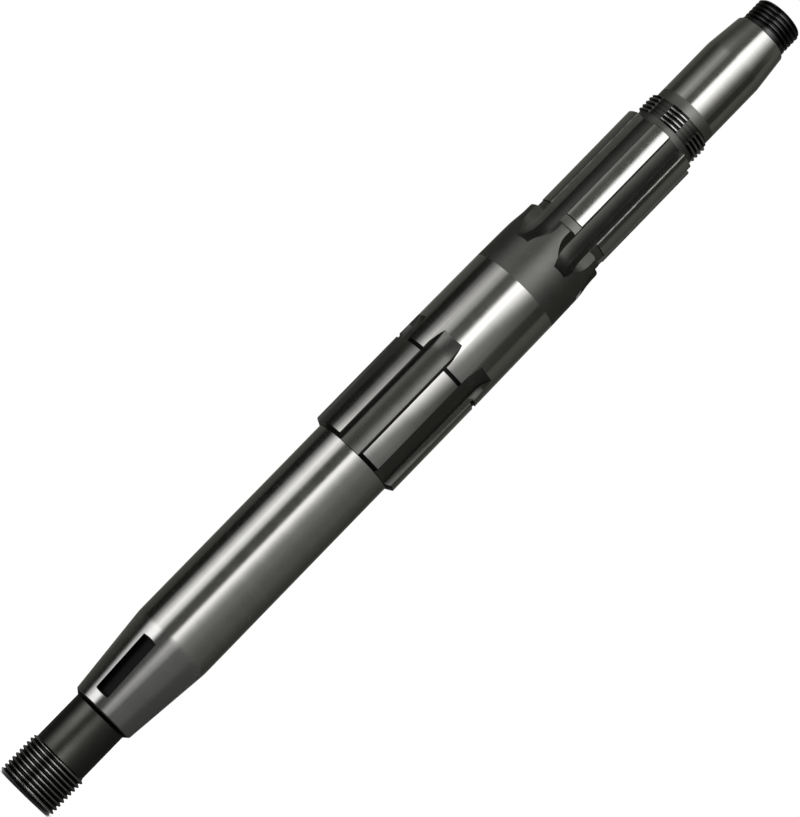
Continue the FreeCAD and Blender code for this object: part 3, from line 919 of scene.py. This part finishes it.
CARDS = (
    Card("dark_wall", (2.2, 0.95, 0.5, 0.45, 0.95, 0.95, 0.65, 0.9, 0.5, 1.75),
         ((-0.1, -180, 180, 0.06), (0.14, -180, 180, 0.078),
          (0.43, -180, 180, 0.1), (2.4, -180, 180, 0.13)), solid=True, cloth=True),
    Card("left_flag", (1, 1), ((-0.1, -112, -84, 0.01), (0.4, -112, -84, 0.01),
                                   (0.9, -112, -84, 0.06)), solid=True, cloth=True),
    Card("left_strip", (0, 0.2, 0.62, 1.08, 0.66, 0),
         ((-0.1, -90, -34, 1.6), (0.14, -89, -34, 1.2), (0.25, -87, -33, 0.72),
          (0.43, -90, -33, 0.62), (0.68, -96, -32, 0.33), (1.1, -105, -32, 0.11),
          (2.4, -105, -32, 0.05))),
    Card("key_strip", (0.6, 1, 0.85, 0.52, 0.25, 0.08, 0),
         ((-0.1, -10, 26, 0.4), (0.03, -10, 26, 0.5), (0.12, -10, 26, 2),
          (0.25, -10, 30, 2.5), (0.34, -10, 32, 2), (0.43, -10, 45, 1.9),
          (0.68, -12, 55, 1.8), (1.1, -15, 65, 1.8), (2.4, -15, 100, 1.4))),
    Card("right_fill", (0, 1, 0.75, 0.5, 0.32, 0.18, 0),
         ((-0.1, 8, 104, 0.04), (0.12, 8, 104, 0.2), (0.25, 8, 104, 0.2),
          (0.43, 8, 80, 0.1), (0.68, 8, 70, 0.04), (2.4, 8, 70, 0.03))),
    Card("right_flag", (1, 1), ((0.35, 64, 92, 0.05), (0.5, 64, 92, 0.025),
                                    (1.1, 66, 92, 0.04)), solid=True, cloth=True),
    Card("ceiling", (1, 1), ((0, -180, 180, 0.45), (0.35, -180, 180, 0.4),
                                 (0.55, -180, 180, 0.12), (1.6, -180, 180, 0.12)),
         solid=True, flat=2.4),
    Card("floor_ring", (1, 1), ((0.0097, -180, 180, 0.03), (0.06, -180, 180, 0.05)),
         solid=True, cloth=True, flat=MM),
    Card("floor_back_left", (1.6, 1.3, 0.8, 0.1),
         ((0.06, -180, -97, 0.06), (1.4, -180, -88, 0.07)), solid=True, cloth=True,
         flat=MM),
    Card("floor_light", (0.05, 0.7, 1.25, 1.3, 0.12),
         ((0.06, -97, -35, 1.05), (1.4, -88, -34, 1.5)), solid=True, flat=MM),
    Card("floor_gap", (0.7, 1.2), ((0.06, -35, -11, 0.08), (1.4, -34, -11, 0.08)),
         solid=True, flat=MM),
    Card("floor_key", (0.4, 1, 0.7, 0.25),
         ((0.06, -11, 24, 0.42), (1.4, -11, 24, 1)), solid=True, flat=MM),
    Card("floor_fill", (1, 0.9, 0.5, 0.45, 0.35, 1),
         ((0.06, 24, 180, 0.13), (1.4, 24, 180, 0.15)), solid=True, flat=MM),
)


def stage_point(camera_turn, distance, height):
    """A place round the shaft, its turn measured from straight in front."""
    return (distance * math.sin(camera_turn), -distance * math.cos(camera_turn), height)


def card_mesh(card, azimuth, distance):
    """A grid of points for one card, with its glow kept at each point."""
    spans = len(card.shares) - 1
    across = max(24, 6 * spans)
    verts, glows, faces = [], [], []
    for place, left, right, glow_here in card.rows:
        for column in range(across + 1):
            part = column / across
            index = min(int(part * spans), spans - 1)
            mix = part * spans - index
            mix = mix * mix * (3.0 - 2.0 * mix)
            share_here = card.shares[index] * (1.0 - mix) + card.shares[index + 1] * mix
            turn = azimuth + math.radians(left + part * (right - left))
            if card.flat is None:
                verts.append(stage_point(turn, distance, place))
            else:
                verts.append(stage_point(turn, place, card.flat))
            glows.append(glow_here * share_here)
    for row in range(len(card.rows) - 1):
        for column in range(across):
            corner = row * (across + 1) + column
            faces.append((corner, corner + 1, corner + across + 2, corner + across + 1))
    mesh = bpy.data.meshes.new(card.name)
    mesh.from_pydata(verts, [], faces)
    mesh.attributes.new("glow", "FLOAT", "POINT").data.foreach_set("value", glows)
    return mesh


def seen_by_reflections(thing):
    """Keep a card out of the picture, out of the soft light and out of the shadows."""
    thing.visible_camera = False
    thing.visible_diffuse = False
    thing.visible_shadow = False


def shader_tree(name):
    """A new material, and the nodes of its tree."""
    material = bpy.data.materials.new(name)
    material.use_nodes = True
    return material, Nodes(material.node_tree)


def background_rays(tree):
    """One for the rays of the camera, of reflections and of glass, none for the others."""
    path = tree.nodes.new("ShaderNodeLightPath")
    total = path.outputs["Is Camera Ray"]
    for name in ("Is Glossy Ray", "Is Transmission Ray"):
        total = tree.maths("MAXIMUM", total, path.outputs[name])
    return total


def card_material(name, tint, solid):
    """Glows as brightly as each point of the card says, and lets the cards behind add theirs."""
    material, tree = shader_tree(name)
    tree.nodes.clear()
    glow_here = tree.node("ShaderNodeAttribute", output="Fac", attribute_name="glow")
    surface = tree.node("ShaderNodeEmission", {"Color": (*tint, 1.0), "Strength": glow_here})
    if not solid:
        surface = tree.node("ShaderNodeAddShader", {
            0: surface, 1: tree.node("ShaderNodeBsdfTransparent")})
    tree.node("ShaderNodeOutputMaterial", {"Surface": surface})
    return material


def floor_material():
    """White to the camera, and still darker where the shaft keeps the lamp off."""
    material, tree = shader_tree("studio_floor")
    sockets = tree.nodes["Principled BSDF"].inputs
    sockets["Base Color"].default_value = (0.8, 0.8, 0.8, 1.0)
    sockets["Roughness"].default_value = 0.9
    sockets["Specular IOR Level"].default_value = 0.0
    sockets["Emission Color"].default_value = WHITE
    own_light = 0.35
    tree.links.new(tree.maths("MULTIPLY", background_rays(tree), own_light),
                   sockets["Emission Strength"])
    return material


def make_world(scene, level):
    """White behind everything that is seen, and a plain level of light from all round."""
    scene.world = bpy.data.worlds.new("studio_world")
    scene.world.use_nodes = True
    tree = Nodes(scene.world.node_tree)
    sockets = tree.nodes["Background"].inputs
    sockets["Color"].default_value = WHITE
    strength = tree.node("ShaderNodeMapRange", {
        "Value": background_rays(tree), "To Min": level, "To Max": 1.0})
    tree.links.new(strength, sockets["Strength"])


def make_camera(scene, studio):
    """The camera at the photo's angle, rolled as the photo is."""
    place = Vector(stage_point(studio.azimuth, studio.distance, studio.height))
    ahead = (Vector((0.0, 0.0, studio.target)) - place).normalized()
    right = ahead.cross(Vector((0.0, 0.0, 1.0))).normalized()
    up = right.cross(ahead)
    cosine, sine = math.cos(studio.roll), math.sin(studio.roll)
    rolled_up = cosine * up - sine * right
    rolled_right = cosine * right + sine * up
    data = bpy.data.cameras.new("photo_camera")
    data.lens = studio.lens
    data.sensor_width = 36.0
    data.shift_x = studio.shift_x
    data.shift_y = studio.shift_y
    data.clip_start = 0.05
    data.clip_end = 50.0
    camera = new_object("photo_camera", data)
    axes = Matrix((rolled_right, rolled_up, -ahead)).transposed()
    camera.matrix_world = Matrix.Translation(place) @ axes.to_4x4()
    scene.camera = camera


def make_lamp(strength):
    light = bpy.data.lights.new("soft_lamp", "SUN")
    light.energy = strength
    light.angle = math.radians(40.0)
    lamp = new_object("soft_lamp", light)
    lamp.rotation_euler = (math.radians(25.0), math.radians(-20.0), 0.0)
    lamp.visible_glossy = False


class MAINSHAFT_OT_studio(bpy.types.Operator):
    """Set up the white floor, the cards, the lamp and the camera"""

    bl_idname = "mainshaft.studio"
    bl_label = "Make Studio"

    def execute(self, context):
        scene = context.scene
        studio = scene.mainshaft_stage
        far, card_gap = 12.0, 0.01
        mesh = bpy.data.meshes.new("studio_floor")
        mesh.from_pydata([(-far, -far, 0.0), (far, -far, 0.0), (far, far, 0.0),
                          (-far, far, 0.0)], [], [(0, 1, 2, 3)])
        mesh.materials.append(floor_material())
        new_object("studio_floor", mesh)
        cloth = card_material("studio_cloth", (1.0, 1.01, 0.9), True)
        board = card_material("studio_board", (1.0, 1.0, 1.0), True)
        panel = card_material("studio_panel", (1.0, 1.0, 1.0), False)
        for number, card in enumerate(CARDS):
            mesh = card_mesh(card, studio.azimuth, studio.card_distance - card_gap * number)
            mesh.materials.append(cloth if card.cloth else board if card.solid else panel)
            thing = new_object(card.name, mesh)
            seen_by_reflections(thing)
        make_lamp(studio.lamp_strength)
        make_world(scene, studio.world_level)
        make_camera(scene, studio)
        scene.view_settings.view_transform = "Standard"
        return {"FINISHED"}


# Registration

class MAINSHAFT_PT_build(bpy.types.Panel):
    """Lists the steps that make the mainshaft and its studio"""

    bl_idname = "MAINSHAFT_PT_build"
    bl_label = "Mainshaft"
    bl_space_type = "VIEW_3D"
    bl_region_type = "UI"
    bl_category = "Mainshaft"

    def draw(self, context):
        layout = self.layout
        for operator in OPERATORS:
            layout.operator(operator.bl_idname)
        for name in SETTINGS:
            box = layout.box()
            settings = getattr(context.scene, name)
            box.label(text=settings.bl_rna.description)
            for key in settings.__annotations__:
                box.prop(settings, key)


OPERATORS = (MAINSHAFT_OT_shaft, MAINSHAFT_OT_studio)
SETTINGS = {
    "mainshaft_turned": MAINSHAFT_PG_turned,
    "mainshaft_milled": MAINSHAFT_PG_milled,
    "mainshaft_threads": MAINSHAFT_PG_threads,
    "mainshaft_finish": MAINSHAFT_PG_finish,
    "mainshaft_stage": MAINSHAFT_PG_stage,
}


def register():
    for made in (*SETTINGS.values(), *OPERATORS, MAINSHAFT_PT_build):
        bpy.utils.register_class(made)
    for name, group in SETTINGS.items():
        setattr(bpy.types.Scene, name, bpy.props.PointerProperty(type=group))


def unregister():
    for name in SETTINGS:
        delattr(bpy.types.Scene, name)
    for made in (MAINSHAFT_PT_build, *OPERATORS, *SETTINGS.values()):
        bpy.utils.unregister_class(made)


def main():
    register()
    bpy.ops.mainshaft.shaft()
    bpy.ops.mainshaft.studio()


if __name__ == "__main__":
    main()
